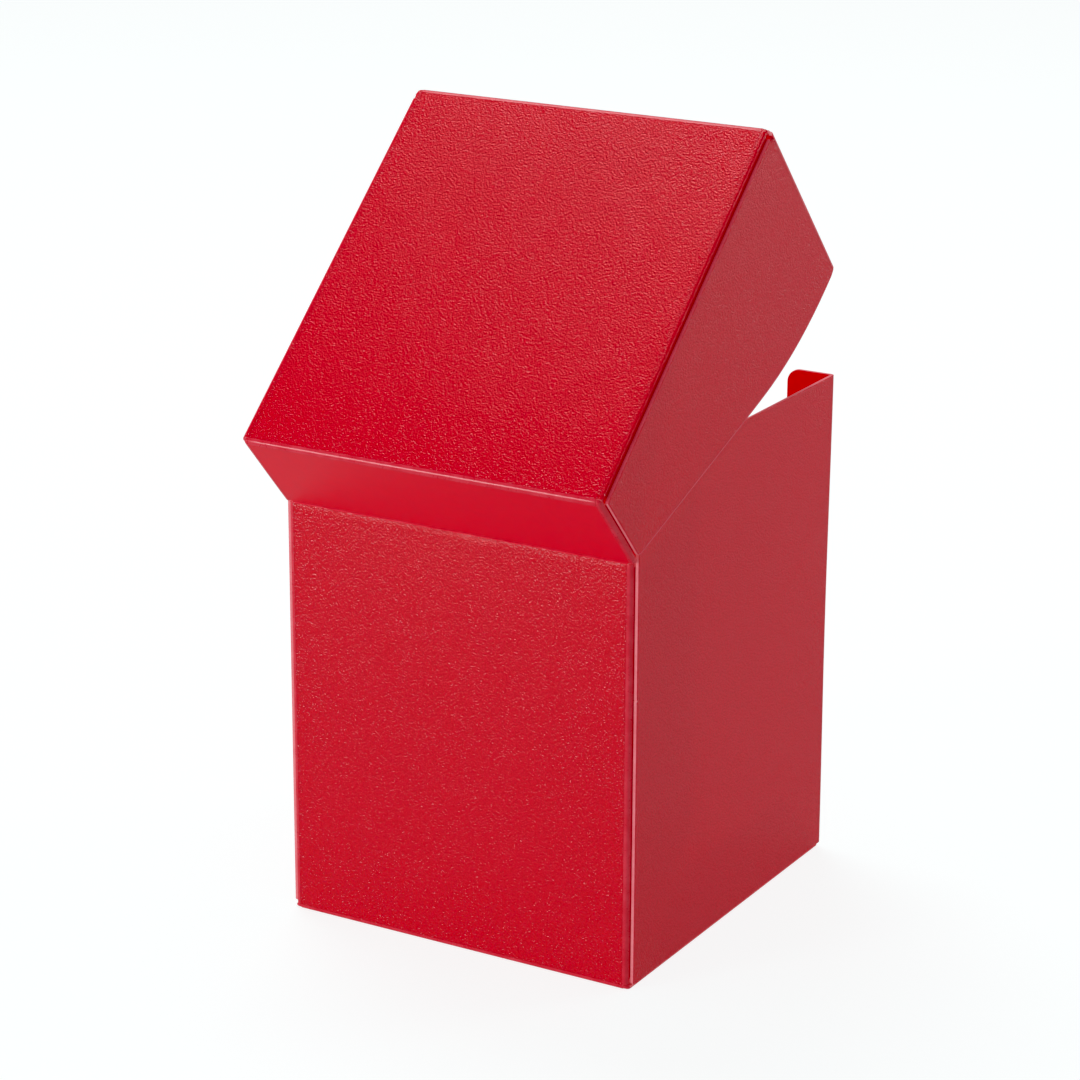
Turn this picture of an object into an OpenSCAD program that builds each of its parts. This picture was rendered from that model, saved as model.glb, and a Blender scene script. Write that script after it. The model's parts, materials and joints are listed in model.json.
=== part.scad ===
// Flip-top deck box for a deck of sleeved playing cards, drawn with its lid part-way open.
//
// The box is one sheet of embossed polypropylene, die-cut, creased, folded and lapped at the
// sides. The main run of the sheet is front, bottom, back, lid strip, lid top, lid front. The
// outer side panels fold off the front and off the lid front. They lap outside the flaps that
// fold off the bottom, the back, the lid strip and the lid top. The crease between the back
// and the lid strip is the living hinge. Each panel, flap and crease is a piece of its own.
//
// X runs across the box (left is -X, as seen from the front), Y from the front (-) to the
// back (+), and Z up. The origin is the centre of the base. The lid's pieces are drawn closed
// and then turned back about the hinge.

/* [Box] */
// Width over the outer side panels
box_w = 70; // [56:0.5:90]
// Depth over the front and back panels
box_d = 74.5; // [56:0.5:100]
// Height of the front and side rims
box_h = 92.5; // [76:0.5:120]
// How far the front and side rims stand above the hinge
rim_rise = 15.2; // [11:0.1:20]
// How far the back end of a side rim stands above the hinge
rim_foot = 2.4; // [1.5:0.1:4]
// Distance from the back at which a side rim becomes level
rim_run = 30; // [20:0.5:45]
// Rounding where a side rim becomes level
rim_r = 8; // [0:0.5:20]

/* [Sheet] */
// Thickness of the sheet
sheet_t = 0.7; // [0.4:0.05:1]
// Inside radius of a folded crease
bend_r = 0.2; // [0.1:0.05:0.6]
// How far a cut edge stays behind the outside of the crease beside it
edge_gap = 0.1; // [0.05:0.05:0.4]
// Gap left for the weld between two lapped layers
lap_gap = 0.1; // [0.05:0.01:0.2]
// How far a crease stops short of a corner where three panels meet
corner_relief = 0.8; // [0.3:0.1:2]

/* [Front notch] */
// Width of the ear beside the notch
ear_w = 9.3; // [4:0.1:14]
// Rounding of an ear's inner top corner
ear_r = 2.4; // [0.5:0.1:4]
// Depth of the notch below the rim
notch_h = 24; // [10:0.5:34]
// Rounding of the notch's lower corners
notch_r = 9; // [2:0.5:12]

/* [Inner flaps] */
// Width of the flaps that fold off the back
back_flap_w = 22; // [10:0.5:30]
// Height of the flaps that fold off the bottom
bottom_flap_h = 16; // [8:0.5:24]
// Gap between the mitred ends of two neighbouring flaps
mitre_gap = 1.1; // [0.4:0.1:3]

/* [Lid] */
// Space between the rims and the underside of the closed lid
head_room = 2.9; // [2.4:0.1:6]
// Height of the lid's front
lid_front_h = 40; // [32:0.5:50]
// Clearance between a lid side and the box side that it slides over
side_clear = 0.1; // [0.08:0.01:0.4]
// Clearance between the lid's front and the rim corner as it swings past
front_clear = 0.45; // [0.2:0.05:1.5]
// Height of a lid side's lower edge above the hinge at its back end
skirt_foot = 1.5; // [0.5:0.1:3]
// Distance from the lid's front at which a lid side's lower edge bends level
skirt_level = 17.5; // [10:0.5:30]
// Radius of that bend
skirt_r = 96; // [10:1:140]
// Rounding of a lid side's lower back corner
skirt_foot_r = 1.2; // [0:0.1:3]
// Width of the flaps that fold off the lid strip
strip_flap_w = 9; // [5:0.5:10]
// Clearance between the lid's flaps and the side rims below them
flap_clear = 0.5; // [0.3:0.1:1]

/* [Hinge] */
// Angle of the lid from closed, as drawn
open_rest = 42; // [0:1:120]
// Angle of the lid from closed when it is folded right back
open_max = 165; // [120:1:170]
// Radius of the bead that stands for the flexible web
bead_r = 0.2; // [0.15:0.01:0.3]
// Depth of the hinge axis under the outside of the back
axis_in = 0.1; // [0.05:0.01:0.15]
// Running clearance round the bead
bead_clear = 0.03; // [0.02:0.01:0.08]
// How far a side crease stops short of the hinge
hinge_relief = 0.9; // [0.7:0.1:2]

/* [Hidden] */

LEFT = -1;
RIGHT = 1;
FRONT = -1;
BACK = 1;
BELOW = -1;
ABOVE = 1;

PANEL = [0.74, 0.08, 0.13];
FLAP = [0.62, 0.04, 0.09];
CREASE = [0.85, 0.22, 0.28];

// Facets of a true round, and steps along a rounded corner of a cut outline
$fn = 48;
CORNER_STEPS = 10;

// A crease's outside radius, and how far a cut edge is set back from the outside of a corner
fold_r = sheet_t + bend_r;
edge_back = fold_r + edge_gap;

// Outer faces, measured from the middle of the box: its sides and its flaps, then the lid's
side_x = box_w / 2;
flap_x = side_x - sheet_t - lap_gap;
lid_side_x = side_x + side_clear + sheet_t;
lid_flap_x = lid_side_x - sheet_t - lap_gap;

// Ends of the flat panels, where the creases start
bottom_half = flap_x - fold_r;
front_half = side_x - fold_r;
lid_half = lid_flap_x - fold_r;
lid_front_half = lid_side_x - fold_r;

back_y = box_d / 2;
front_y = -box_d / 2;
hinge_h = box_h - rim_rise;
axis_y = back_y - axis_in;

// The lid closes over the box. Its front clears the rim's corner, the furthest point that it
// swings past.
lid_top_z = box_h + head_room + sheet_t;
swing_r = norm([axis_y - front_y, rim_rise]);
lid_front_y = axis_y - swing_r - front_clear - sheet_t;
lid_low_z = lid_top_z - lid_front_h;

// Height of a side rim at distance d from the back
rim_slope = (rim_rise - rim_foot) / (rim_run - edge_back);
function rim_z(d) = hinge_h + min(rim_rise, rim_foot + rim_slope * (d - edge_back));

// A point of a side outline, at distance d from the back and at height z
function from_back(d, z, r = 0) = [back_y - d, z, r];

// Corners are [x, y, radius]. A rounded corner becomes an arc, as large as its edges allow.
function xy(p) = [p[0], p[1]];
function unit(v) = v / norm(v);
function turned(v, a) = [v[0] * cos(a) - v[1] * sin(a), v[0] * sin(a) + v[1] * cos(a)];
function room(p, q) = norm(xy(p) - xy(q)) * (q[2] > 0 ? 0.49 : 0.98);
function corner_arc(a, b, c) =
    let(
        u = unit(xy(a) - xy(b)),
        v = unit(xy(c) - xy(b)),
        half = acos(u * v) / 2,
        reach = min(b[2] / tan(half), room(b, a), room(b, c)),
        r = reach * tan(half),
        centre = xy(b) + unit(u + v) * r / sin(half),
        first = xy(b) + u * reach - centre,
        sweep = (180 - 2 * half) * sign(cross(first, xy(b) + v * reach - centre))
    )
    [for (i = [0:CORNER_STEPS]) centre + turned(first, sweep * i / CORNER_STEPS)];
function rounded(corners) =
    let(n = len(corners))
    [
        for (i = [0:n - 1])
            for (p = corners[i][2] > 0
                    ? corner_arc(corners[(i + n - 1) % n], corners[i], corners[(i + 1) % n])
                    : [xy(corners[i])])
                p
    ];

// Turns the lid from closed to the way it is drawn
module lid_open() {
    translate([0, axis_y, hinge_h])
        rotate([-open_rest, 0, 0])
            translate([0, -axis_y, -hinge_h])
                children();
}

// A sheet parallel to the sides, from an outline in Y and Z, with its outer face at x
module side_sheet(side, x) {
    translate([side > 0 ? x - sheet_t : -x, 0, 0])
        rotate([90, 0, 90])
            linear_extrude(sheet_t)
                children();
}

// A sheet parallel to the front, from an outline in X and Z, reaching back from y
module front_sheet(y) {
    translate([0, y + sheet_t, 0])
        rotate([90, 0, 0])
            linear_extrude(sheet_t)
                children();
}

// Section of a crease folded to a right angle, in the quarter that u and v point to
module bend(u, v) {
    intersection() {
        difference() {
            circle(fold_r);
            circle(bend_r);
        }
        translate([u < 0 ? -fold_r : 0, v < 0 ? -fold_r : 0])
            square(fold_r);
    }
}

// A crease across the box, centred, that turns towards y_dir and z_dir
module cross_crease(y, z, y_dir, z_dir, half) {
    translate([-half, y, z])
        rotate([90, 0, 90])
            linear_extrude(2 * half)
                bend(y_dir, z_dir);
}

// An upright crease between two heights
module upright_crease(x, y, x_dir, y_dir, z_low, z_high) {
    translate([x, y, z_low])
        linear_extrude(z_high - z_low)
            bend(x_dir, y_dir);
}

// A crease that runs from front to back between two places
module long_crease(x, z, x_dir, z_dir, y_low, y_high) {
    translate([x, y_high, z])
        rotate([90, 0, 0])
            linear_extrude(y_high - y_low)
                bend(x_dir, z_dir);
}

// Section of a sheet that ends in a lip round the bead. It runs away from the hinge to reach,
// up (ABOVE) or down (BELOW), and its outside is thinned so that the lid can fold right back.
module hinge_lip(z_dir, reach, hole_r) {
    relief = axis_in / tan((180 - open_max) / 2);
    lip = bead_clear * z_dir;
    difference() {
        polygon([
            [axis_in - sheet_t, lip],
            [0, lip],
            [axis_in, relief * z_dir],
            [axis_in, reach * z_dir],
            [axis_in - sheet_t, reach * z_dir],
        ]);
        circle(hole_r);
    }
}

// Carries a section in Y and Z, drawn about the hinge axis, across the box
module across_hinge(half) {
    translate([-half, axis_y, hinge_h])
        rotate([90, 0, 90])
            linear_extrude(2 * half)
                children();
}

// ---- Box: main run of the sheet ----

module front_panel() {
    notch_half = side_x - ear_w;
    color(PANEL)
        front_sheet(front_y)
            polygon(rounded([
                [-front_half, fold_r, 0],
                [front_half, fold_r, 0],
                [front_half, box_h, 0],
                [notch_half, box_h, ear_r],
                [notch_half, box_h - notch_h, notch_r],
                [-notch_half, box_h - notch_h, notch_r],
                [-notch_half, box_h, ear_r],
                [-front_half, box_h, 0],
            ]));
}

module bottom_panel() {
    length = box_d - 2 * fold_r;
    color(PANEL)
        translate([-bottom_half, -length / 2, 0])
            cube([2 * bottom_half, length, sheet_t]);
}

module back_panel() {
    color(PANEL)
        across_hinge(bottom_half)
            hinge_lip(BELOW, hinge_h - fold_r, bead_r);
}

// ---- Box: sides and flaps ----

module side_panel(side) {
    color(PANEL)
        side_sheet(side, side_x)
            polygon(rounded([
                [front_y + fold_r, edge_back, 0],
                from_back(edge_back, edge_back, 0.4),
                from_back(edge_back, rim_z(edge_back), 0.8),
                from_back(rim_run, box_h, rim_r),
                [front_y + fold_r, box_h, 0],
            ]));
}

// A glue flap whose ends slope at 45 degrees
module bottom_flap(side) {
    foot = box_d / 2 - fold_r - corner_relief;
    rise = bottom_flap_h - fold_r;
    color(FLAP)
        side_sheet(side, flap_x)
            polygon([
                [-foot, fold_r],
                [foot, fold_r],
                [foot - rise, bottom_flap_h],
                [rise - foot, bottom_flap_h],
            ]);
}

// Its lower end is mitred to the bottom flap, and its upper end keeps under the side rim
module back_flap(side) {
    low = fold_r + mitre_gap * sqrt(2) - corner_relief;
    high = hinge_h - hinge_relief;
    run = back_flap_w - fold_r;
    color(FLAP)
        side_sheet(side, flap_x)
            polygon([
                xy(from_back(fold_r, low)),
                xy(from_back(fold_r, high)),
                xy(from_back(back_flap_w, high + run * rim_slope)),
                xy(from_back(back_flap_w, low + run)),
            ]);
}

// ---- Box: creases ----

module base_crease(y_dir) {
    color(CREASE)
        cross_crease(y_dir * (back_y - fold_r), fold_r, y_dir, BELOW, bottom_half - corner_relief);
}

module front_side_crease(side) {
    color(CREASE)
        upright_crease(side * front_half, front_y + fold_r, side, FRONT, edge_back, box_h);
}

module bottom_side_crease(side) {
    foot = box_d / 2 - fold_r - corner_relief;
    color(CREASE)
        long_crease(side * bottom_half, fold_r, side, BELOW, -foot, foot);
}

module back_side_crease(side) {
    color(CREASE)
        upright_crease(side * bottom_half, back_y - fold_r, side, BACK,
            fold_r + corner_relief, hinge_h - hinge_relief);
}

// The flexible web between the back and the lid strip, as a round bead on the hinge axis
module hinge_crease() {
    color(CREASE)
        across_hinge(bottom_half)
            circle(bead_r);
}

// ---- Lid: main run of the sheet ----

module lid_back_strip() {
    color(PANEL)
        lid_open()
            across_hinge(lid_half)
                hinge_lip(ABOVE, lid_top_z - fold_r - hinge_h, bead_r + bead_clear);
}

module lid_top_panel() {
    length = back_y - lid_front_y - 2 * fold_r;
    color(PANEL)
        lid_open()
            translate([-lid_half, lid_front_y + fold_r, lid_top_z - sheet_t])
                cube([2 * lid_half, length, sheet_t]);
}

module lid_front_panel() {
    color(PANEL)
        lid_open()
            front_sheet(lid_front_y)
                translate([-lid_front_half, lid_low_z])
                    square([2 * lid_front_half, lid_front_h - fold_r]);
}

// ---- Lid: sides and flaps ----

module lid_side_panel(side) {
    front = lid_front_y + fold_r;
    top = lid_top_z - edge_back;
    step = corner_relief;
    color(PANEL)
        lid_open()
            side_sheet(side, lid_side_x)
                polygon(rounded([
                    [front, lid_low_z, 0],
                    [lid_front_y + skirt_level, lid_low_z, skirt_r],
                    from_back(edge_back, hinge_h + skirt_foot, skirt_foot_r),
                    from_back(edge_back, top, 0.4),
                    [front + step, top, 0.2],
                    [front + step, top - step, 0.2],
                    [front, top - step, 0],
                ]));
}

// Fills the corner between the lid strip and the sloping rim, and is mitred to the top flap
module strip_flap(side) {
    high = lid_top_z - fold_r - corner_relief;
    run = strip_flap_w - fold_r;
    color(FLAP)
        lid_open()
            side_sheet(side, lid_flap_x)
                polygon([
                    xy(from_back(fold_r, rim_z(fold_r) + flap_clear)),
                    xy(from_back(fold_r, high)),
                    xy(from_back(strip_flap_w, high - run)),
                    xy(from_back(strip_flap_w, rim_z(strip_flap_w) + flap_clear)),
                ]);
}

// Hangs down from the lid's top as far as the side rim lets it
module lid_top_flap(side) {
    top = lid_top_z - fold_r;
    start = fold_r + mitre_gap * sqrt(2) - corner_relief;
    foot = (top + start - hinge_h - rim_foot - flap_clear + rim_slope * edge_back) / (1 + rim_slope);
    color(FLAP)
        lid_open()
            side_sheet(side, lid_flap_x)
                polygon([
                    xy(from_back(start, top)),
                    xy(from_back(foot, rim_z(foot) + flap_clear)),
                    xy(from_back(rim_run, box_h + flap_clear)),
                    [lid_front_y + fold_r + 2 * corner_relief, box_h + flap_clear],
                    [lid_front_y + fold_r + corner_relief, top],
                ]);
}

// ---- Lid: creases ----

module lid_cross_crease(y_dir) {
    y = y_dir > 0 ? back_y - fold_r : lid_front_y + fold_r;
    color(CREASE)
        lid_open()
            cross_crease(y, lid_top_z - fold_r, y_dir, ABOVE, lid_half - corner_relief);
}

module lid_front_side_crease(side) {
    color(CREASE)
        lid_open()
            upright_crease(side * lid_front_half, lid_front_y + fold_r, side, FRONT,
                lid_low_z, lid_top_z - edge_back - corner_relief);
}

module strip_side_crease(side) {
    color(CREASE)
        lid_open()
            upright_crease(side * lid_half, back_y - fold_r, side, BACK,
                hinge_h + hinge_relief, lid_top_z - fold_r - corner_relief);
}

module lid_top_side_crease(side) {
    color(CREASE)
        lid_open()
            long_crease(side * lid_half, lid_top_z - fold_r, side, ABOVE,
                lid_front_y + fold_r + corner_relief, back_y - fold_r - corner_relief);
}

front_panel();
bottom_panel();
back_panel();
side_panel(LEFT);  // left_side_panel
side_panel(RIGHT);  // right_side_panel
bottom_flap(LEFT);  // bottom_left_flap
bottom_flap(RIGHT);  // bottom_right_flap
back_flap(LEFT);  // back_left_flap
back_flap(RIGHT);  // back_right_flap
base_crease(FRONT);  // front_bottom_crease
base_crease(BACK);  // back_bottom_crease
front_side_crease(LEFT);  // front_left_crease
front_side_crease(RIGHT);  // front_right_crease
bottom_side_crease(LEFT);  // bottom_left_crease
bottom_side_crease(RIGHT);  // bottom_right_crease
back_side_crease(LEFT);  // back_left_crease
back_side_crease(RIGHT);  // back_right_crease
hinge_crease();
lid_back_strip();
lid_top_panel();
lid_front_panel();
lid_side_panel(LEFT);  // lid_left_side_panel
lid_side_panel(RIGHT);  // lid_right_side_panel
strip_flap(LEFT);  // strip_left_flap
strip_flap(RIGHT);  // strip_right_flap
lid_top_flap(LEFT);  // lid_top_left_flap
lid_top_flap(RIGHT);  // lid_top_right_flap
lid_cross_crease(BACK);  // lid_back_crease
lid_cross_crease(FRONT);  // lid_front_crease
lid_front_side_crease(LEFT);  // lid_front_left_crease
lid_front_side_crease(RIGHT);  // lid_front_right_crease
strip_side_crease(LEFT);  // strip_left_crease
strip_side_crease(RIGHT);  // strip_right_crease
lid_top_side_crease(LEFT);  // lid_top_left_crease
lid_top_side_crease(RIGHT);  // lid_top_right_crease
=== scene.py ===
# %% [markdown]
# # A card deck box, folded from one sheet
# The real box is a single sheet of red polypropylene, embossed on one side, cut by a die, creased,
# folded and welded at its sides. This notebook builds that sheet panel by panel and fold by fold
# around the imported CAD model, which says where everything goes. All sizes below are in
# millimetres until a mesh is finished, because a sheet 0.7 mm thick is easier to think about so.

import json
import math

import bmesh
import bpy
from mathutils import Matrix, Vector


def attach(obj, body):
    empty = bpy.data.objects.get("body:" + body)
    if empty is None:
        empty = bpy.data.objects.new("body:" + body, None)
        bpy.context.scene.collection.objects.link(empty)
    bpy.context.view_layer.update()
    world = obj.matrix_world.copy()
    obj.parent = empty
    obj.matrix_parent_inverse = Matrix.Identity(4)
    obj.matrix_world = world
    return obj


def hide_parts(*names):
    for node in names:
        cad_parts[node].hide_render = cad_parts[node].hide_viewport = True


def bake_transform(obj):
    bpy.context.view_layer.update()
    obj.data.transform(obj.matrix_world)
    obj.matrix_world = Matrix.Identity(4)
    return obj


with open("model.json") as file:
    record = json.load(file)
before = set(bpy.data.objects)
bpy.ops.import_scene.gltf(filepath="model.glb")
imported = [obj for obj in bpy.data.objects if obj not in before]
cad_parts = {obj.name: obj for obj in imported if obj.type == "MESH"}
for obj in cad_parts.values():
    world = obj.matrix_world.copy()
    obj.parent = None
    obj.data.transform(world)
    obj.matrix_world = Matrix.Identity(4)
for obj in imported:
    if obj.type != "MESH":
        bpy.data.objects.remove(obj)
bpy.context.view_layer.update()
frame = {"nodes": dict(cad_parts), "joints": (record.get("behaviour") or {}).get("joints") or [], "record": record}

MM = 0.001
AXES = (Vector((1, 0, 0)), Vector((0, 1, 0)), Vector((0, 0, 1)))
bodies = frame["record"]["behaviour"]["bodies"]
body_of = {name: body for body, names in bodies.items() for name in names}
print("nodes:", {body: len(names) for body, names in bodies.items()})

# %% [markdown]
# ## The camera
# A long lens well away from the box keeps its upright edges nearly parallel, as in a catalogue.
# The camera could be turned by three angles, but it is easier to check a point that it looks at:
# the rotation that points it there is found from the direction, and a small roll levels it.

# %% Place the camera
CAMERA_AT = Vector((-293.0, 511.0, 257.15))
CAMERA_AIM = Vector((4.59, 0.83, 64.91))
CAMERA_ROLL = math.radians(0.235)
LENS = 114.96
SENSOR = 36.0


def point_at(thing, place, aim, roll=0.0):
    """Puts a camera or a light at a place, looking at a point."""
    turn = (aim - place).to_track_quat("-Z", "Y").to_matrix().to_4x4()
    thing.matrix_world = Matrix.Translation(place * MM) @ turn @ Matrix.Rotation(roll, 4, "Z")


def add_to_scene(name, data):
    """Makes an object for camera, light or mesh data and links it."""
    thing = bpy.data.objects.new(name, data)
    bpy.context.scene.collection.objects.link(thing)
    return thing


lens = bpy.data.cameras.new("catalogue_lens")
lens.lens = LENS
lens.sensor_width = SENSOR
lens.clip_start = 0.01
camera = add_to_scene("catalogue_camera", lens)
point_at(camera, CAMERA_AT, CAMERA_AIM, CAMERA_ROLL)
bpy.context.scene.camera = camera
print("camera is", round((CAMERA_AIM - CAMERA_AT).length), "mm from what it looks at")

# %% [markdown]
# ## Shader sums as plain expressions
# A finish is mixed from sums of patterns. Wiring each sum by hand hides what it means, so one
# small class wraps a node's output and turns the arithmetic signs into Math nodes. Colours go
# through a Mix node instead, because a Math node would turn them grey.

# %% A wire that does arithmetic, and a finish that holds the nodes
MIX_FACTOR, MIX_FIRST, MIX_SECOND, MIX_RESULT = 0, 6, 7, 2
PEBBLE_ROUNDING = 0.35
NOISE_ROUGHNESS = 0.5
FULL_BUMP = 1.0
RED_TRAVEL = (1.0, 0.06, 0.08)


class Wire:
    """One output of a shader node, with the arithmetic signs that a finish needs."""

    def __init__(self, finish, socket):
        self.finish = finish
        self.socket = socket

    def maths(self, operation, first, second):
        return self.finish.node("ShaderNodeMath", {"operation": operation}, {0: first, 1: second})

    def __add__(self, other):
        return self.maths("ADD", self, other)

    def __mul__(self, other):
        return self.maths("MULTIPLY", self, other)

    def __sub__(self, other):
        return self.maths("SUBTRACT", self, other)

    def __rsub__(self, other):
        return self.maths("SUBTRACT", other, self)

    __radd__ = __add__
    __rmul__ = __mul__


class Finish:
    """A material while it is being mixed."""

    def __init__(self, name):
        self.material = bpy.data.materials.new(name)
        self.material.use_nodes = True
        self.tree = self.material.node_tree
        self.shader = self.tree.nodes["Principled BSDF"]

    def join(self, value, socket):
        if isinstance(value, Wire):
            self.tree.links.new(value.socket, socket)
        else:
            socket.default_value = value

    def node(self, kind, settings, sockets, out=0):
        """Adds a node: its settings first, then the values or wires of its sockets."""
        made = self.tree.nodes.new(kind)
        for name, value in settings.items():
            setattr(made, name, value)
        for name, value in sockets.items():
            self.join(value, made.inputs[name])
        return Wire(self, made.outputs[out])

    def mix(self, factor, first, second):
        """A colour between two colours."""
        sockets = {MIX_FACTOR: factor, MIX_FIRST: first, MIX_SECOND: second}
        return self.node("ShaderNodeMix", {"data_type": "RGBA"}, sockets, MIX_RESULT)

    def millimetres(self):
        """Where a point is on the box, in millimetres."""
        place = self.node("ShaderNodeTexCoord", {}, {}, "Object")
        scale = (1 / MM,) * 3
        return self.node("ShaderNodeVectorMath", {"operation": "MULTIPLY"}, {0: place, 1: scale})

    def noise(self, place, size, detail=1.0):
        """Soft random lumps about that many millimetres across, from 0 to 1."""
        sockets = {"Vector": place, "Scale": 1 / size, "Detail": detail,
                   "Roughness": NOISE_ROUGHNESS}
        return self.node("ShaderNodeTexNoise", {}, sockets, "Fac")

    def pebbles(self, place, size):
        """Rounded cells about that many millimetres across: 0 at a middle, more at a rim."""
        settings = {"feature": "SMOOTH_F1"}
        sockets = {"Vector": place, "Scale": 1 / size, "Smoothness": PEBBLE_ROUNDING}
        return self.node("ShaderNodeTexVoronoi", settings, sockets, "Distance")

    def steps(self, value, low, high):
        """0 below low, 1 above high and an even run between."""
        sockets = {"Value": value, "From Min": low, "From Max": high}
        return self.node("ShaderNodeMapRange", {"interpolation_type": "SMOOTHSTEP"}, sockets)

    def bump(self, height, depth):
        """Tilts the light as if the surface rose by depth millimetres times the height."""
        sockets = {"Height": height, "Distance": depth * MM, "Strength": FULL_BUMP}
        return self.node("ShaderNodeBump", {}, sockets)

    def surface(self, colour, roughness, normal=None, gloss=0.5):
        """Joins the finished patterns to the shader and gives back the material."""
        self.join(colour, self.shader.inputs["Base Color"])
        self.join(roughness, self.shader.inputs["Roughness"])
        if normal is not None:
            self.join(normal, self.shader.inputs["Normal"])
        self.shader.inputs["Specular IOR Level"].default_value = gloss
        return self.material

    def glow(self, colour, strength):
        """A faint even light of the surface's own."""
        self.shader.inputs["Emission Color"].default_value = colour
        self.shader.inputs["Emission Strength"].default_value = strength

    def let_light_through(self, share, depth):
        """Some of the light that enters wanders on, in red mostly, and leaves further away."""
        self.shader.inputs["Subsurface Weight"].default_value = share
        self.shader.inputs["Subsurface Radius"].default_value = RED_TRAVEL
        self.shader.inputs["Subsurface Scale"].default_value = depth * MM


# %% [markdown]
# ## Floor, bench and wall
# A pale card under the box could be one plane, but in a catalogue picture the floor is cleaned
# to white afterwards, while the box still mirrors the grey bench that it really stood on. So
# there are two planes: a white one that only the camera sees, which gathers the soft shadow, and
# a grey one that only the box sees. A low view would also show where the floor ends, so a round
# pale wall stands at its rim. The camera sees the wall, and it lights nothing.

# %% Build the floor and the bench
PURE_WHITE = (1, 1, 1, 1)
PURE_BLACK = (0, 0, 0, 1)
MATT = 0.9
FLOOR_DROP = 0.05
FLOOR_HALF = 4000.0
FLOOR_GLOW = 0.85
FLOOR_WHITE = (0.19, 0.24, 0.24, 1)
BENCH_GREY = (0.72, 0.72, 0.72, 1)
BENCH_GLOW = 0.12


def level_sheet(name, height):
    """A large level square that isn't part of the box."""
    mesh = bpy.data.meshes.new(name)
    corners = [(-1, -1), (1, -1), (1, 1), (-1, 1)]
    reach = FLOOR_HALF * MM
    mesh.from_pydata([(x * reach, y * reach, height * MM) for x, y in corners], [], [(0, 1, 2, 3)])
    plane = add_to_scene(name, mesh)
    return plane


white = Finish("white_floor")
white.glow(PURE_WHITE, FLOOR_GLOW)
floor = level_sheet("floor", -FLOOR_DROP)
floor.data.materials.append(white.surface(FLOOR_WHITE, MATT, gloss=0.0))
floor.visible_diffuse = False
floor.visible_glossy = False

grey = Finish("grey_bench")
grey.glow(PURE_WHITE, BENCH_GLOW)
bench = level_sheet("bench", -2 * FLOOR_DROP)
bench.data.materials.append(grey.surface(BENCH_GREY, MATT, gloss=0.0))
bench.visible_camera = False
print("floor and bench are", 2 * FLOOR_HALF * MM, "m across")

# %% Stand the wall round them
WALL_GLOW = 0.97
WALL_SIDES = 64


def ring_wall(name, radius, height):
    """A round wall about the floor, seen only by the camera."""
    mesh = bpy.data.meshes.new(name)
    bm = bmesh.new()
    bmesh.ops.create_cone(bm, segments=WALL_SIDES, radius1=radius * MM, radius2=radius * MM,
                          depth=2 * height * MM)
    bm.to_mesh(mesh)
    bm.free()
    wall = add_to_scene(name, mesh)
    return wall


pale = Finish("pale_wall")
pale.glow(PURE_WHITE, WALL_GLOW)
wall = ring_wall("wall", FLOOR_HALF, FLOOR_HALF)
wall.data.materials.append(pale.surface(PURE_BLACK, 1.0, gloss=0.0))
for way in ("diffuse", "glossy", "transmission", "volume_scatter", "shadow"):
    setattr(wall, "visible_" + way, False)
print("the wall has", len(wall.data.polygons), "faces")

# %% [markdown]
# ## Lamps and air
# Three round lamps light the box: a large key high up in front of it, a weaker one low at the
# front left, and one low behind it that lights the back. Small lamps would throw hard shadows
# and hot spots on the embossing, so all of them are large and soft. An even glow of the air
# fills what they leave dark, and is kept out of the reflections, which it would turn milky.

# %% Hang the lamps
AIM = Vector((0.0, 0.0, 70.0))
LAMPS = {
    "soft_key": (Vector((420.0, -310.0, 1000.0)), 620.0, 3.9),
    "soft_side": (Vector((-560.0, -640.0, 260.0)), 360.0, 1.3),
    "soft_behind": (Vector((540.0, 970.0, 180.0)), 360.0, 3.7),
}
AIR_GLOW = 0.38

for name, (place, size, power) in LAMPS.items():
    lamp = bpy.data.lights.new(name, "AREA")
    lamp.shape = "DISK"
    lamp.size = size * MM
    lamp.energy = power
    point_at(add_to_scene(name, lamp), place, AIM)
    print(name, "hangs", round((place - AIM).length), "mm away")

air = bpy.data.worlds.new("studio_air")
air.use_nodes = True
bpy.context.scene.world = air
backdrop = air.node_tree.nodes["Background"]
backdrop.inputs["Color"].default_value = PURE_WHITE
backdrop.inputs["Strength"].default_value = AIR_GLOW
air.cycles_visibility.glossy = False

# %% [markdown]
# ## How the light is shown
# Blender's usual view transform softens strong colours towards white, as film does, and a red
# this pure can't be reached through it. The Standard one shows colours as they were mixed. A
# small black level takes away the last trace of green and blue, which deepens the red.

# %% Set the display
BLACK_POINT = 0.008

display = bpy.context.scene.view_settings
display.view_transform = "Standard"
display.use_curve_mapping = True
display.curve_mapping.black_level = (BLACK_POINT,) * 3
display.curve_mapping.update()
print("shown with", display.view_transform)

# %% [markdown]
# ## The sheet's outside
# The outside was rolled against a textured drum, which leaves rounded pebbles about half a
# millimetre across. Their tops catch the light as small sparks. The pebbles are too fine to
# model, so a bump pattern tilts the light instead: cells for the pebbles, and noise so that
# no two are alike. The same pattern also paints the pebble tops a lighter red and the hollows
# between them a darker one, as painted sparkle and painted shade. The pattern is measured on
# the box itself, so it runs on from piece to piece.
#
# Plastic is not paint: some of the light goes in, wanders, and comes out again further away,
# mostly red. The shader's subsurface share does that, and softens the shade in every hollow.

# %% Mix the embossed red
RED = (0.84, 0.0, 0.026, 1)
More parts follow.
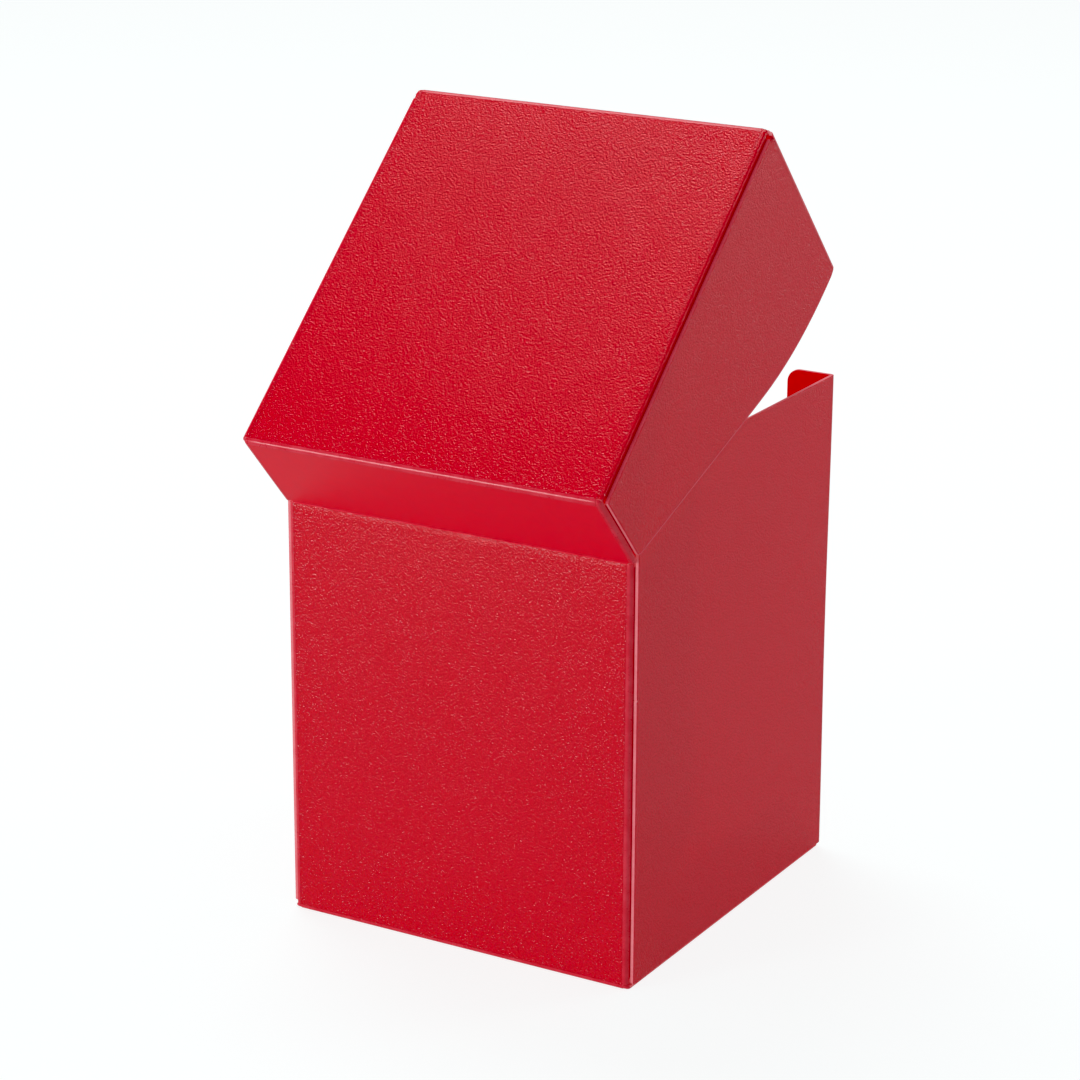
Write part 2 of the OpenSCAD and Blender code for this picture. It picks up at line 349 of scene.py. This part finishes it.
# RED_HIGH: the lighter red of the painted sparkle on pebble tops, of the painted glow and of the random haze.
# RED_PAINTED_SHADE: the painted shade in the pebbles' hollows.
RED_HIGH = (0.88, 0.002, 0.028, 1)
RED_PAINTED_SHADE = (0.78, 0.0, 0.020, 1)
GLOW_SHARE = 0.5
GLOW_DEPTH = 1.2
PEBBLE = 0.36
PEBBLE_FINE = 0.21
PEBBLE_DEPTH = 0.095
LUMP_SHARE, FINE_SHARE, CELL_SHARE = 0.9, 0.45, 0.5
SPARKLE_TOPS_LOW, SPARKLE_TOPS_HIGH = 0.15, 0.62
CLOUD, CLOUD_LOW, CLOUD_HIGH, CLOUD_SHARE = 40.0, 0.2, 0.8, 0.35
SKIN_ROUGH, SKIN_CHANGE, SKIN_GLOSS = 0.19, 0.04, 0.38


def embossed_red():
    """The grained outside of the sheet, with painted sparkle on the pebble tops and painted shade in their
    hollows.
    """
    red = Finish("embossed_red")
    red.let_light_through(GLOW_SHARE, GLOW_DEPTH)
    place = red.millimetres()
    cells = red.pebbles(place, PEBBLE)
    lumps = red.noise(place, PEBBLE)
    fine = red.noise(place, PEBBLE_FINE)
    cloud = red.noise(place, CLOUD)
    height = LUMP_SHARE * lumps + FINE_SHARE * fine - CELL_SHARE * cells
    # Pebble tops painted lighter and hollows darker: painted sparkle and painted shade.
    painted_sparkle_tops = red.steps(height, SPARKLE_TOPS_LOW, SPARKLE_TOPS_HIGH)
    colour = red.mix(painted_sparkle_tops, RED_PAINTED_SHADE, RED_HIGH)
    colour = red.mix(red.steps(cloud, CLOUD_LOW, CLOUD_HIGH) * CLOUD_SHARE, colour, RED)
    roughness = SKIN_ROUGH + SKIN_CHANGE * cloud - SKIN_CHANGE * painted_sparkle_tops
    return red.surface(colour, roughness, red.bump(height, PEBBLE_DEPTH), gloss=SKIN_GLOSS)


# %% [markdown]
# ## The smooth side, the folds and the cut edges
# Inside, the sheet ran over a polished roll, so it is smooth with only long faint waves. A fold
# is pressed by a blunt rule and then stretched, which irons the pebbles flat and pales the
# plastic a little; its pale red is also made bright to stand in for the highlight along a crease,
# so it is partly painted highlight. A cut edge shows the sheet's own body: light wanders in it,
# so it looks paler and pinker than the skin, with fine streaks from the knife. An edge that rubs
# on its neighbour lies between the two, and the same pale pink is painted as a highlight line
# along the low edge of the lid's sides. The hinge is duller than a fold, since it was bent many
# times.
#
# Light also soaks through the whole sheet and warms the inside. A faint even glow of the smooth
# side and of the cut edges stands for it. It is a simple stand-in, not light that is followed.

# %% Mix the smooth inside
SOAK = 0.11
WAVE, WAVE_DEPTH = 14.0, 0.12
HAZE, HAZE_DETAIL, HAZE_SHARE = 1.6, 2.0, 0.04
HAZE_LOW, HAZE_HIGH = 0.25, 0.75
INSIDE_ROUGH, INSIDE_CHANGE, INSIDE_GLOSS = 0.34, 0.08, 0.5


def smooth_red():
    """The polished inside of the sheet."""
    red = Finish("smooth_red")
    red.let_light_through(GLOW_SHARE, GLOW_DEPTH)
    red.glow(RED_HIGH, SOAK)
    place = red.millimetres()
    waves = red.noise(place, WAVE)
    haze = red.noise(place, HAZE, HAZE_DETAIL)
    colour = red.mix(red.steps(haze, HAZE_LOW, HAZE_HIGH), RED, RED_HIGH)
    height = waves + HAZE_SHARE * haze
    roughness = INSIDE_ROUGH + INSIDE_CHANGE * haze
    return red.surface(colour, roughness, red.bump(height, WAVE_DEPTH), gloss=INSIDE_GLOSS)


# %% Mix the folds and the edges
EDGE_PINK = (1.0, 0.31, 0.35, 1)
EDGE_DEEP = (0.92, 0.19, 0.23, 1)
EDGE_GLOW = 0.12
# Pale pink of worn arrises, also used as a painted highlight line along the lid sides' low edge.
WORN_HIGHLIT_PINK = (0.92, 0.080, 0.140, 1)
WORN_HIGHLIT_DEEP = (0.80, 0.045, 0.090, 1)
# The pale fold red is stretch whitening, and is also made bright to stand in for the crease's highlight: partly
# painted highlight.
FOLD_RED = (0.92, 0.010, 0.045, 1)
FOLD_PALE = (1.0, 0.050, 0.095, 1)
STRESS, STRESS_DETAIL, STRESS_LOW, STRESS_HIGH = 2.4, 2.0, 0.3, 0.75
FOLD_GRAIN, FOLD_GRAIN_SHARE, FOLD_CHANGE, FOLD_DEPTH = 0.5, 0.3, 0.10, 0.02
STREAK, STREAK_DETAIL, STREAK_DEPTH, SLOW = 0.35, 2.0, 0.015, 5.0
TONE_SHARE, TONE_LOW, TONE_HIGH = 0.5, 0.3, 0.7
CUT_ROUGH, CUT_CHANGE, CUT_GLOSS = 0.45, 0.1, 0.4


def fold_red(name, roughness, gloss):
    """Pressed and stretched sheet, paler partly from stretching and partly as a painted highlight."""
    red = Finish(name)
    place = red.millimetres()
    stress = red.noise(place, STRESS, STRESS_DETAIL)
    fine = red.noise(place, FOLD_GRAIN)
    colour = red.mix(red.steps(stress, STRESS_LOW, STRESS_HIGH), FOLD_RED, FOLD_PALE)
    height = stress + FOLD_GRAIN_SHARE * fine
    return red.surface(colour, roughness + FOLD_CHANGE * fine, red.bump(height, FOLD_DEPTH), gloss)


def cut_pink(name, deep, pale, glow):
    """The sheet's own body, where the knife or wear laid it bare; also used for a painted highlight line."""
    pink = Finish(name)
    pink.glow(pale, glow)
    place = pink.millimetres()
    streak = pink.noise(place, STREAK, STREAK_DETAIL)
    slow = pink.noise(place, SLOW)
    tone = pink.steps(streak * TONE_SHARE + slow * TONE_SHARE, TONE_LOW, TONE_HIGH)
    colour = pink.mix(tone, deep, pale)
    roughness = CUT_ROUGH + CUT_CHANGE * streak
    return pink.surface(colour, roughness, pink.bump(streak, STREAK_DEPTH), gloss=CUT_GLOSS)


# %% List the finishes in the order of their slots
OUTSIDE, INSIDE, CUT, PRESSED, WORN_AND_HIGHLIT, BENT = range(6)
FINISHES = [
    embossed_red(),
    smooth_red(),
    cut_pink("cut_edge", EDGE_DEEP, EDGE_PINK, EDGE_GLOW),
    fold_red("fold_red", roughness=0.24, gloss=0.6),
    # Worn arrises, and the painted highlight line along the lid sides' low edge.
    cut_pink("worn_and_highlit_edge", WORN_HIGHLIT_DEEP, WORN_HIGHLIT_PINK, EDGE_GLOW / 3),
    fold_red("hinge_red", roughness=0.55, gloss=0.1),
]
print("finishes:", [material.name for material in FINISHES])

# %% [markdown]
# ## Working with the lid shut
# The lid is drawn open, so its panels lie at a slant, which makes them awkward to measure. Every
# piece is therefore measured and built with the lid shut, where all panels are square to the
# axes, and the lid's pieces are turned to where they belong at the very end. The hinge's place,
# axis and shut angle come from the record.

# %% Find the hinge and measure nodes with the lid shut
hinge = frame["joints"][0]
hinge_at = Vector(hinge["pos_m"]) / MM
hinge_axis = Vector(hinge["axis"])
shut_angle = math.radians(hinge["range_deg"][0])
LIP_SLOPE = (180 - (hinge["range_deg"][1] - hinge["range_deg"][0])) / 2
shut_turn = (
    Matrix.Translation(hinge_at)
    @ Matrix.Rotation(shut_angle, 4, hinge_axis)
    @ Matrix.Translation(-hinge_at)
)


def shut_box(name):
    """Lowest and highest corner of a CAD node, in millimetres, with the lid shut."""
    turn = shut_turn if body_of[name] == "lid" else Matrix.Identity(4)
    points = [turn @ (v.co / MM) for v in frame["nodes"][name].data.vertices]
    low = Vector([min(p[i] for p in points) for i in range(3)])
    high = Vector([max(p[i] for p in points) for i in range(3)])
    return low, high


boxes = {name: shut_box(name) for name in body_of}
folds = [name for name in boxes if name.endswith("crease") and name != "hinge_crease"]
panels = [name for name in boxes if not name.endswith("crease")]
sheet = boxes["bottom_panel"][1].z - boxes["bottom_panel"][0].z
box_top = boxes["front_panel"][1].z
box_side = boxes["right_side_panel"][1].x
box_back = boxes["back_panel"][1].y
box_front = boxes["front_panel"][0].y
lid_low, lid_side = boxes["lid_left_side_panel"][0].z, boxes["lid_right_side_panel"][1].x
lid_front, lid_top = boxes["lid_front_panel"][0].y, boxes["lid_top_panel"][1].z
MIDDLE = Vector((0, 0, box_top / 2))
print(len(panels), "panels and", len(folds), "folds in a sheet of", round(sheet, 3), "mm")


def outward(name, axis):
    """Which way the outside of a piece faces along an axis: 1 or -1."""
    low, high = boxes[name]
    return 1 if (low[axis] + high[axis]) / 2 > MIDDLE[axis] else -1


# %% [markdown]
# ## How a folded sheet settles
# A thin sheet never stays dead flat. The sides of a real box draw in a little at half height,
# its big panels hollow slightly, and the lid's free skirt bellies out. This could be modelled
# one panel at a time, but then their shared edges would come apart. One smooth rule that moves
# every point of the box, and one for the lid, keeps neighbours together. The hollows and bellies
# stay under 0.3 mm, and only the lid's low front corners are eased up further, by up to 0.8 mm.
# The lid still clears the box.

# %% The settling rules
SIDE_PULL = 0.22
SIDE_HOLLOW = 0.10
BACK_HOLLOW = 0.14
SKIRT_BELLY = 0.28
TOP_HOLLOW = 0.20
SKIRT_PINCH = 0.08
CORNER_EASE = 0.8
EASE_REACH = 2.4
BACK_HOLD = 6
PINCH_REACH = 9.0
TOP_FADE = 4


def arch(value, low, high):
    """0 at low and high, 1 half way, with level ends."""
    share = min(max((value - low) / (high - low), 0.0), 1.0)
    return math.sin(math.pi * share) ** 2


def settle_box(p):
    """Where a point of the box body moves to."""
    forward = min(max((box_back - p.y) / (box_back - box_front), 0.0), 1.0)
    upright = arch(p.z, 0.0, box_top)
    pull = upright * (SIDE_PULL * forward + SIDE_HOLLOW * arch(p.y, box_front, box_back))
    hollow = BACK_HOLLOW * arch(p.x, -box_side, box_side) * arch(p.z, 0.0, hinge_at.z)
    back = max(0.0, p.y / box_back) ** BACK_HOLD
    return Vector((p.x - pull * p.x / box_side, p.y - hollow * back, p.z))


def settle_lid(p):
    """Where a point of the lid moves to, with the lid shut."""
    drop = min(max((lid_top - p.z) / (lid_top - lid_low), 0.0), 1.0)
    belly = SKIRT_BELLY * arch(p.y, lid_front, box_back) * drop
    near_hinge = max(0.0, 1 - (p - Vector((p.x, hinge_at.y, hinge_at.z))).length / PINCH_REACH)
    out = belly - SKIRT_PINCH * near_hinge**2
    flat = arch(p.x, -lid_side, lid_side)
    hollow = TOP_HOLLOW * flat * arch(p.y, lid_front, box_back) * max(0.0, 1 - TOP_FADE * drop)
    from_corner = Vector((lid_side - abs(p.x), p.y - lid_front)).length
    ease = CORNER_EASE * max(0.0, 1 - from_corner / EASE_REACH) ** 2
    ease *= max(0.0, 1 - (p.z - lid_low) / EASE_REACH)
    return Vector((p.x + out * p.x / lid_side, p.y, p.z - hollow + ease))


SETTLE = {"box": settle_box, "lid": settle_lid}

# %% [markdown]
# ## From a built shape to a finished piece
# Each piece is built as a closed solid, since a real sheet has two faces and an edge. The last
# steps are the same for all: settle, turn the lid's pieces open, scale to metres, and let the
# large faces decide how edges shade, so that the narrow rounding catches a clean line of light.

# %% The finishing steps
SHARP = math.radians(50)


def finish_piece(name, node, bm, settled=True):
    """Turns a bmesh, in millimetres with the lid shut, into a piece that rides on its body."""
    body = body_of[node]
    turn = shut_turn.inverted() if body == "lid" else Matrix.Identity(4)
    for v in bm.verts:
        v.co = turn @ (SETTLE[body](v.co) if settled else v.co) * MM
    for edge in bm.edges:
        edge.smooth = edge.calc_face_angle(0.0) < SHARP
    for face in bm.faces:
        face.smooth = True
    mesh = bpy.data.meshes.new(name)
    bm.to_mesh(mesh)
    bm.free()
    for material in FINISHES:
        mesh.materials.append(material)
    piece = add_to_scene(name, mesh)
    shade = piece.modifiers.new("even_shading", "WEIGHTED_NORMAL")
    shade.keep_sharp = True
    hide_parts(node)
    return piece


# %% [markdown]
# ## Panels and flaps
# A panel is what the die cut: a flat outline with sharp arrises that wear to a small round. Its
# outline could be drawn again here, but the CAD node already has it exactly, so the piece starts
# from a copy of that mesh. Its flat faces are merged, the arrises that show are rounded, and it
# is cut into a grid that all pieces share, so that it can settle without parting from the folds.
#
# Some panels get more. A narrow band along the low edge of the lid's sides is set off pale: a
# painted highlight line where that edge catches the light. The lid's sides and front are cut
# closer by its low front corners, which are eased up. The left side has a small nick in its cut
# edge. The hinge's two lips are drawn back a hair, because they would touch when the lid is
# folded right back.

# %% Share one grid and copy a node
GRID = 4.0
NEAR = 0.02
SAME_PLANE = math.radians(0.4)
ON_THE_CUT = 1e-5


def grid_lines(low, high):
    """The shared grid's places between two ends."""
    first, last = math.ceil((low + NEAR) / GRID), math.floor((high - NEAR) / GRID)
    return [GRID * i for i in range(first, last + 1)]


def in_a_fold(point, body):
    """Whether a point lies on the side of a fold, where the sheet goes on round the corner."""
    for name in folds:
        low, high = boxes[name]
        if body_of[name] == body and all(low[i] - NEAR < point[i] < high[i] + NEAR for i in range(3)):
            return True
    return False


def copy_of_node(name):
    """The CAD node's solid as a bmesh of whole flat faces, with the lid shut."""
    bm = bmesh.new()
    bm.from_mesh(frame["nodes"][name].data)
    turn = shut_turn if body_of[name] == "lid" else Matrix.Identity(4)
    bm.transform(turn @ Matrix.Scale(1 / MM, 4))
    bmesh.ops.remove_doubles(bm, verts=bm.verts, dist=NEAR / 10)
    bmesh.ops.dissolve_limit(bm, angle_limit=SAME_PLANE, verts=bm.verts, edges=bm.edges)
    return bm


def cut_grid(bm, axis, places):
    """Cuts a solid into strips, without changing its shape."""
    for place in places:
        everything = bm.verts[:] + bm.edges[:] + bm.faces[:]
        at = AXES[axis] * place
        bmesh.ops.bisect_plane(bm, geom=everything, dist=ON_THE_CUT, plane_co=at, plane_no=AXES[axis])


print("all pieces share a grid of", GRID, "mm")

# %% Set off the painted highlight rim and draw back the lips
SKIRT_RIM = 0.36
LIP_CLEAR = 0.02
SIDEWAYS = 0.5
FLAT_ON = 0.9
DOWNWARDS = -0.2


def mark_highlight_rim(bm, out, rim):
    """Sets off the narrow band along a lid side's low edge, painted pale as a highlight line."""
    skin = [face for face in bm.faces if face.normal.dot(out) > FLAT_ON]
    band = bmesh.ops.inset_region(bm, faces=skin, thickness=SKIRT_RIM, use_even_offset=True)
    bm.normal_update()
    for face in band["faces"]:
        around = [f for edge in face.edges for f in edge.link_faces]
        beside = [f for f in around if abs(f.normal.dot(out)) < SIDEWAYS]
        face[rim] = any(f.normal.z < DOWNWARDS for f in beside)


def draw_back_lip(bm):
    """Keeps both lips of the hinge a hair apart when the lid is folded right back."""
    slope = math.tan(math.radians(LIP_SLOPE))
    for v in bm.verts:
        limit = hinge_at.y + slope * abs(v.co.z - hinge_at.z) - LIP_CLEAR
        v.co.y = min(v.co.y, limit)


# The band is a painted highlight line along the lid sides' low edge.
print("the rubbed band is", SKIRT_RIM, "mm wide")

# %% Round the arrises
ARRIS = 0.10
ARRIS_SKIRT = 0.16
ARRIS_SEGMENTS = 2
ROUND = 0.5
LIP = 1.2


def round_arrises(bm, out, body, offset):
    """Rounds the edges between a face that shows and a cut edge that shows."""

    def is_cut(face):
        middle = face.calc_center_median()
        away = middle - hinge_at
        near_hinge = Vector((away.y, away.z)).length < LIP
        side_on = abs(face.normal.dot(out)) < SIDEWAYS
        return side_on and not near_hinge and not in_a_fold(middle, body)

    cut_faces = {face for face in bm.faces if is_cut(face)}
    arrises = [e for e in bm.edges if len(e.link_faces) == 2
               and len([f for f in e.link_faces if f in cut_faces]) == 1
               and any(abs(f.normal.dot(out)) > FLAT_ON for f in e.link_faces)]
    bmesh.ops.bevel(bm, geom=arrises, offset=offset, offset_type="OFFSET", affect="EDGES",
                    segments=ARRIS_SEGMENTS, profile=ROUND, clamp_overlap=False)


print("arrises are rounded by", ARRIS, "mm, and by", ARRIS_SKIRT, "mm on the lid's sides")

# %% Cut and nick the panels
EASED = (0.5, 1.1, 1.7, 2.4)
EASED_FROM = 0.9
NICK_AT = 53.0
NICK_HALF = 0.16
NICK_DEPTH = 0.15


def cut_panel(bm, low, high, thin):
    """Cuts a panel along the shared grid."""
    for axis in range(3):
        if axis != thin:
            cut_grid(bm, axis, grid_lines(low[axis], high[axis]))


def cut_corners(bm, thin):
    """Cuts closer lines by the lid's low front corners, for the ease there."""
    cut_grid(bm, 2, [lid_low + e for e in EASED])
    for e in EASED:
        cut_grid(bm, 0, [s * (lid_side - EASED_FROM - e) for s in (-1, 1)] if thin == 1 else [])
        cut_grid(bm, 1, [lid_front + EASED_FROM + e] if thin == 0 else [])


def nick(bm, edge):
    """A small nick in a cut edge, and the slivers that it leaves taken away."""
    cut_grid(bm, 2, [NICK_AT - NICK_HALF, NICK_AT, NICK_AT + NICK_HALF])
    for v in bm.verts:
        if abs(v.co.z - NICK_AT) < NEAR and v.co.y > edge - 2 * ARRIS:
            v.co.y -= NICK_DEPTH
    bmesh.ops.dissolve_degenerate(bm, dist=NEAR / 5, edges=bm.edges)


print("the nick is", NICK_DEPTH, "mm deep")

# %% Build the panels
SLANTED = 0.3
AT_THE_RIM = 0.5
SMOOTH_OUTSIDE = ("lid_back_strip",)


def choose_finish(face, out, name, skirt, rim):
    """Which finish a panel's face gets, from the way it faces."""
    facing = face.normal.dot(out)
    if facing < -FLAT_ON:
        return INSIDE
    # The rim band is a painted highlight line; slanted arrises are pale from wear.
    if face[rim]:
        return WORN_AND_HIGHLIT
    if facing > FLAT_ON:
        return INSIDE if name in SMOOTH_OUTSIDE else OUTSIDE
    if skirt and facing > SLANTED and face.normal.z < DOWNWARDS:
        return CUT
    if SLANTED < abs(facing) < FLAT_ON or (skirt and face.normal.z > SLANTED):
        return WORN_AND_HIGHLIT
    return CUT


def panel(name):
    """One panel or flap."""
    low, high = boxes[name]
    thin = min(range(3), key=lambda i: high[i] - low[i])
    out = AXES[thin] * outward(name, thin)
    body = body_of[name]
    bm = copy_of_node(name)
    skirt = body == "lid" and name.endswith("side_panel")
    rim = bm.faces.layers.int.new("rim")
    if skirt:
        mark_highlight_rim(bm, out, rim)
    round_arrises(bm, out, body, ARRIS_SKIRT if skirt else ARRIS)
    cut_panel(bm, low, high, thin)
    if name.startswith("lid") and high.z < lid_top - AT_THE_RIM and low.z < lid_low + AT_THE_RIM:
        cut_corners(bm, thin)
    if name in ("back_panel", "lid_back_strip"):
        draw_back_lip(bm)
    if name == "left_side_panel":
        nick(bm, high.y)
    bm.normal_update()
    for face in bm.faces:
        face.material_index = choose_finish(face, out, name, skirt, rim)
    return finish_piece(name + "_sheet", name, bm)


for name in panels:
    piece = panel(name)
    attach(piece, body_of[name])
    print(piece.name, len(piece.data.polygons), "faces")

# %% [markdown]
# ## Folds
# A fold is a quarter of a tube: the sheet bent round a small inside radius. Where the rule
# pressed it, two shallow grooves run along its edges with the stretched plastic standing
# slightly proud between them, which is what draws a fine dark line beside each bright one. A
# bent plane would have no thickness, so each fold is lofted: one section, repeated along the
# box's shared grid, and drawn in a little or closed with a small dome at its ends.
#
# Two pairs of folds differ. Those at the sides of the lid's top were pressed sharp and keep their
# grain, so the top runs on almost to its corner. Those at the sides of the bottom stand out by
# up to half a millimetre, as they do at the real box's lower corner.

# %% Shape the folds' sections and ends
FOLD_STEPS = 14
QUARTER = 90.0
GROOVE_DEPTH = 0.05
GROOVE_AT = 11.0
GROOVE_WIDTH = 6.0
PROUD = 0.02
END_ROUND = 0.10
END_STEPS = 4
HAIRLINE = 0.06
DOME_STEPS = 6
DOME_TOP = 78.0
CRISP = 5.0
SPREAD = 0.5
SPREAD_FOLDS = ("bottom_left_crease", "bottom_right_crease")
GRAINED_FOLDS = ("lid_top_left_crease", "lid_top_right_crease")
DOMED = {
    "bottom_left_crease": (True, True),
    "bottom_right_crease": (True, True),
    "strip_left_crease": (False, True),
    "strip_right_crease": (False, True),
    "lid_top_left_crease": (True, False),
    "lid_top_right_crease": (True, False),
}


def section_radius(angle, radius):
    """Outside radius of a fold at an angle of its quarter turn, in degrees."""
    places = (GROOVE_AT, QUARTER - GROOVE_AT)
    grooves = sum(math.exp(-(((angle - at) / GROOVE_WIDTH) ** 2)) for at in places)
    return radius - GROOVE_DEPTH * grooves + PROUD * math.sin(math.radians(2 * angle)) ** 2


def crisp_radius(angle, radius):
    """The same for a fold that was pressed sharp, so that the panel runs on almost to its corner."""
    turn = math.radians(angle)
    return radius * (math.cos(turn) ** CRISP + math.sin(turn) ** CRISP) ** (-1 / CRISP)


def reach_of(name, along):
    """How far a fold runs: to where the panels that it joins end."""
    low, high = boxes[name]
    starts, ends = [], []
    for other in panels:
        first, last = boxes[other]
        touching = all(low[i] - NEAR < last[i] and first[i] - NEAR < high[i] for i in range(3))
        if body_of[other] == body_of[name] and touching and not other.endswith("flap"):
            starts.append(first[along])
            ends.append(last[along])
    start, end = max(starts), min(ends)
    start = low[along] if start > low[along] - NEAR else start + HAIRLINE
    end = high[along] if end < high[along] + NEAR else end - HAIRLINE
    return start, end


def end_of_fold(place, way, domed, radius):
    """Sections at one end, from the tip inwards: place, outside scale, inset."""
    if domed:
        turns = [math.radians(DOME_TOP * (1 - i / DOME_STEPS)) for i in range(DOME_STEPS)]
        return [(place - way * radius * math.sin(t), math.cos(t), 0.0) for t in turns]
    turns = [math.radians(QUARTER * i / END_STEPS) for i in range(END_STEPS)]
    return [(place + way * END_ROUND * (1 - math.cos(t)), 1.0, END_ROUND * (1 - math.sin(t)))
            for t in turns]


print(len(folds), "folds with", FOLD_STEPS, "steps in each quarter turn")

# %% Skin a row of sections


def loft(bm, rings, outside, inside, sides, ends):
    """Skins a row of rings, each a run of outer and inner points, into a closed solid."""

    def quad(corners, kind):
        bm.faces.new(corners).material_index = kind

    for here, there in zip(rings, rings[1:]):
        for a, b, c, d in zip(here, here[1:], there, there[1:]):
            quad((a[0], b[0], d[0], c[0]), outside)
            quad((a[1], c[1], d[1], b[1]), inside)
        for i in (0, -1):
            quad((here[i][0], there[i][0], there[i][1], here[i][1]), sides)
    for ring, kind in zip((rings[0], rings[-1]), ends):
        for a, b in zip(ring, ring[1:]):
            quad((a[0], a[1], b[1], b[0]), kind)
    bmesh.ops.recalc_face_normals(bm, faces=bm.faces)


print("sections are joined into closed solids")

# %% Build the folds


def fold_sections(start, end, domes, radius):
    """Every section of a fold from one end to the other: place, outside scale, inset."""
    first, last = start + END_ROUND * (not domes[0]), end - END_ROUND * (not domes[1])
    sections = end_of_fold(start, 1, domes[0], radius)
    sections += [(place, 1.0, 0.0) for place in [first] + grid_lines(first, last) + [last]]
    sections += reversed(end_of_fold(end, -1, domes[1], radius))
    return sections


def fold(name):
    """One fold, lofted along its length."""
    low, high = boxes[name]
    along = max(range(3), key=lambda i: high[i] - low[i])
    across = [i for i in range(3) if i != along]
    signs = [outward(name, i) for i in across]
    centre = [low[i] if s > 0 else high[i] for i, s in zip(across, signs)]
    radius = high[across[0]] - low[across[0]]
    start, end = reach_of(name, along)
    domes = DOMED.get(name, (False, False))
    thinning = math.tan(math.radians(LIP_SLOPE))
    profile = crisp_radius if name in GRAINED_FOLDS else section_radius
    spread = SPREAD if name in SPREAD_FOLDS else 0.0

    def fold_point(angle, reach, place, scale):
        turn = math.radians(angle)
        point = Vector((0, 0, 0))
        point[along] = place
        for i, direction in enumerate((math.cos(turn), math.sin(turn))):
            point[across[i]] = centre[i] + signs[i] * direction * reach * scale
        if spread:
            point.x += signs[0] * spread * math.sin(2 * turn) * scale
        if along == 2:
            point.y = min(point.y, hinge_at.y + thinning * abs(point.z - hinge_at.z))
        return point

    bm = bmesh.new()
    rings = []
    for place, scale, inset in fold_sections(start, end, domes, radius):
        ring = []
        for step in range(FOLD_STEPS + 1):
            angle = QUARTER * step / FOLD_STEPS
            pair = (profile(angle, radius) - inset, radius - sheet + inset)
            ring.append([bm.verts.new(fold_point(angle, r, place, scale)) for r in pair])
        rings.append(ring)
    outside = OUTSIDE if name in GRAINED_FOLDS else PRESSED
    ends = [PRESSED if domed else CUT for domed in domes]
    loft(bm, rings, outside, INSIDE, PRESSED, ends)
    return finish_piece(name + "_fold", name, bm)


for name in folds:
    piece = fold(name)
    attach(piece, body_of[name])
    print(piece.name, len(piece.data.polygons), "faces")

# %% [markdown]
# ## The living hinge
# Between the back and the lid the sheet is pressed to a thin web that bends each time the box is
# opened. Two stiff lips with a pin would turn, but they would show a slot. The web is a thin
# band wrapped over both lips and across the axis, drawn with the lid open as it stands.

# %% Build the web
WEB_REACH = 0.9
WEB_THICK = 0.18
WEB_SINK = 0.035
WEB_STEPS = 9


def lip_direction(turned, upwards):
    """Along a lip's thinned outside, away from the hinge, in the Y and Z of the open lid."""
    slope = math.radians(LIP_SLOPE)
    y, z = math.sin(slope), math.cos(slope) * (1 if upwards else -1)
    c, s = math.cos(turned), math.sin(turned)
    return Vector((0, y * c + z * s, z * c - y * s))


def hinge_web():
    """The thin band across the hinge, drawn with the lid open as it stands."""
    low, high = boxes["hinge_crease"]
    down, up = lip_direction(0.0, False), lip_direction(-shut_angle, True)
    inwards_down = Vector((0, down.z, -down.y))
    inwards_up = Vector((0, -up.z, up.y))
    inwards_mid = (inwards_down + inwards_up).normalized()
    half_turn = inwards_down.angle(inwards_up) / 2
    stations = []
    for i in range(-WEB_STEPS, WEB_STEPS + 1):
        share = abs(i) / WEB_STEPS
        run, inwards = (down, inwards_down) if i < 0 else (up, inwards_up)
        if i == 0:
            run, inwards = Vector((0, 0, 0)), inwards_mid / math.cos(half_turn)
        stations.append((run * WEB_REACH * share, inwards))
    bm = bmesh.new()
    rings = []
    places = [low.x] + grid_lines(low.x, high.x) + [high.x]
    for x in places:
        ring = []
        for run, inwards in stations:
            at = hinge_at + run
            at.x = x
            ring.append((bm.verts.new(at + inwards * WEB_SINK),
                         bm.verts.new(at + inwards * (WEB_SINK + WEB_THICK))))
        rings.append(ring)

    loft(bm, rings, BENT, BENT, BENT, (BENT, BENT))
    web = finish_piece("living_hinge_web", "hinge_crease", bm, settled=False)
    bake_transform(web)
    return web


print(hinge_web().name, "bends between box and lid")
